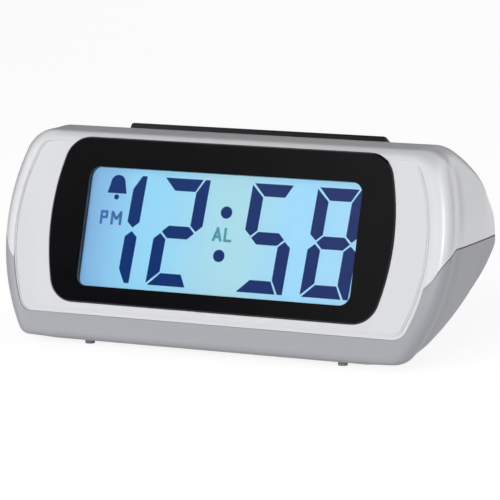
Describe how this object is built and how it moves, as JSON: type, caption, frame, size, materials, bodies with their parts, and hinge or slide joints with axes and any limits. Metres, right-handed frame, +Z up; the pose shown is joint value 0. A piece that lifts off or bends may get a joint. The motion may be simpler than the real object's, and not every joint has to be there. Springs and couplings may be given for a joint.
{
  "type": "digital alarm clock",
  "caption": "Digital alarm clock: wide rounded silver case, leaning front, backlit figures behind a black surround, snooze bar on top, keys at the back.",
  "frame": {"origin": "on the table, under the middle of the clock", "axes": "+X to the right seen from the front, +Y to the back, +Z up"},
  "size_m": [0.151, 0.056, 0.0659],
  "materials": {
    "battery_sleeve": "printed sleeve without lettering",
    "bezel_black": "polished black",
    "black_foam": "soft foam",
    "black_resin": "matt",
    "bright_metal": "drawn can",
    "button_black": "satin",
    "button_grey": "satin",
    "buzzer_brass": "rolled",
    "capacitor_sleeve": "shrink sleeve",
    "case_grey": "silver grey moulded ABS, satin",
    "case_silver": "silver lacquer on moulded ABS, satin",
    "clear_guide": "clear acrylic",
    "clear_window": "clear acrylic",
    "display_glass": "clear",
    "display_ink": "dark blue segments",
    "display_light": "backlit pale cyan film",
    "foot_rubber": "matt",
    "green_board": "solder mask",
    "grey_rubber": "matt",
    "led_body": "matt",
    "ribbon_grey": "PVC",
    "screw_steel": "zinc plated",
    "spring_steel": "nickel plated",
    "switch_black": "moulded",
    "switch_metal": "pressed sheet",
    "white_plastic": "moulded",
    "white_sheet": "matt film",
    "wire_black": "PVC",
    "wire_red": "PVC"
  },
  "bodies": {
    "case": {"alarm_switch": "switch_black", "alarm_switch_housing": "switch_metal", "backlight_led_left": "led_body", "backlight_led_right": "led_body", "battery_wires": "wire_red", "bezel_frame": "bezel_black", "board_resistors": "black_resin", "board_screws": "screw_steel", "bottom_shell": "case_grey", "buzzer_disc": "buzzer_brass", "buzzer_housing": "black_resin", "buzzer_wires": "wire_black", "case_screws": "screw_steel", "clock_chip": "black_resin", "contact_plates": "spring_steel", "contact_springs": "spring_steel", "display_holder": "white_plastic", "display_lens": "clear_window", "front_battery": "battery_sleeve", "front_feet": "foot_rubber", "hour_switch": "switch_black", "key_board": "green_board", "key_board_screws": "screw_steel", "lcd_connector_strip": "grey_rubber", "lcd_front_polariser": "display_light", "lcd_glass": "display_glass", "lcd_rear_polariser": "display_glass", "lcd_segments": "display_ink", "lens_gasket": "black_foam", "light_diffuser": "white_sheet", "light_guide": "clear_guide", "main_board": "green_board", "minute_switch": "switch_black", "rear_battery": "battery_sleeve", "rear_feet": "foot_rubber", "reflector_sheet": "white_sheet", "ribbon_cable": "ribbon_grey", "ribbon_sockets": "white_plastic", "smoothing_capacitor": "capacitor_sleeve", "snooze_board": "green_board", "snooze_board_screws": "screw_steel", "snooze_switch": "switch_black", "snooze_wires": "wire_black", "time_switch": "switch_black", "timing_crystal": "bright_metal", "top_shell": "case_silver"},
    "snooze_bar": {"snooze_bar": "button_black", "snooze_plunger": "white_plastic"},
    "alarm_switch": {"alarm_switch_knob": "button_black"},
    "battery_door": {"battery_door": "case_grey"},
    "time_button": {"time_button": "button_grey", "time_plunger": "white_plastic"},
    "alarm_button": {"alarm_button": "button_grey", "alarm_plunger": "white_plastic"},
    "hour_button": {"hour_button": "button_grey", "hour_plunger": "white_plastic"},
    "minute_button": {"minute_button": "button_grey", "minute_plunger": "white_plastic"}
  },
  "joints": [
    {"name": "snooze_press", "type": "slide", "parent": "case", "child": "snooze_bar", "axis": [0, -0.5, -0.866], "range_m": [0, 0.0012], "stiffness_N_per_m": 500, "springref_m": -0.001},
    {"name": "time_press", "type": "slide", "parent": "case", "child": "time_button", "axis": [0, -0.9578, 0.2874], "range_m": [0, 0.0008], "stiffness_N_per_m": 400, "springref_m": -0.001},
    {"name": "alarm_press", "type": "slide", "parent": "case", "child": "alarm_button", "axis": [0, -0.9578, 0.2874], "range_m": [0, 0.0008], "stiffness_N_per_m": 400, "springref_m": -0.001},
    {"name": "hour_press", "type": "slide", "parent": "case", "child": "hour_button", "axis": [0, -0.9578, 0.2874], "range_m": [0, 0.0008], "stiffness_N_per_m": 400, "springref_m": -0.001},
    {"name": "minute_press", "type": "slide", "parent": "case", "child": "minute_button", "axis": [0, -0.9578, 0.2874], "range_m": [0, 0.0008], "stiffness_N_per_m": 400, "springref_m": -0.001},
    {"name": "alarm_slide", "type": "slide", "parent": "case", "child": "alarm_switch", "axis": [1, 0, 0], "range_m": [0, 0.003]},
    {"name": "battery_door_hinge", "type": "hinge", "parent": "case", "child": "battery_door", "pos_m": [0, -0.01068, 0.0021], "axis": [-1, 0, 0], "range_deg": [0, 60]}
  ]
}
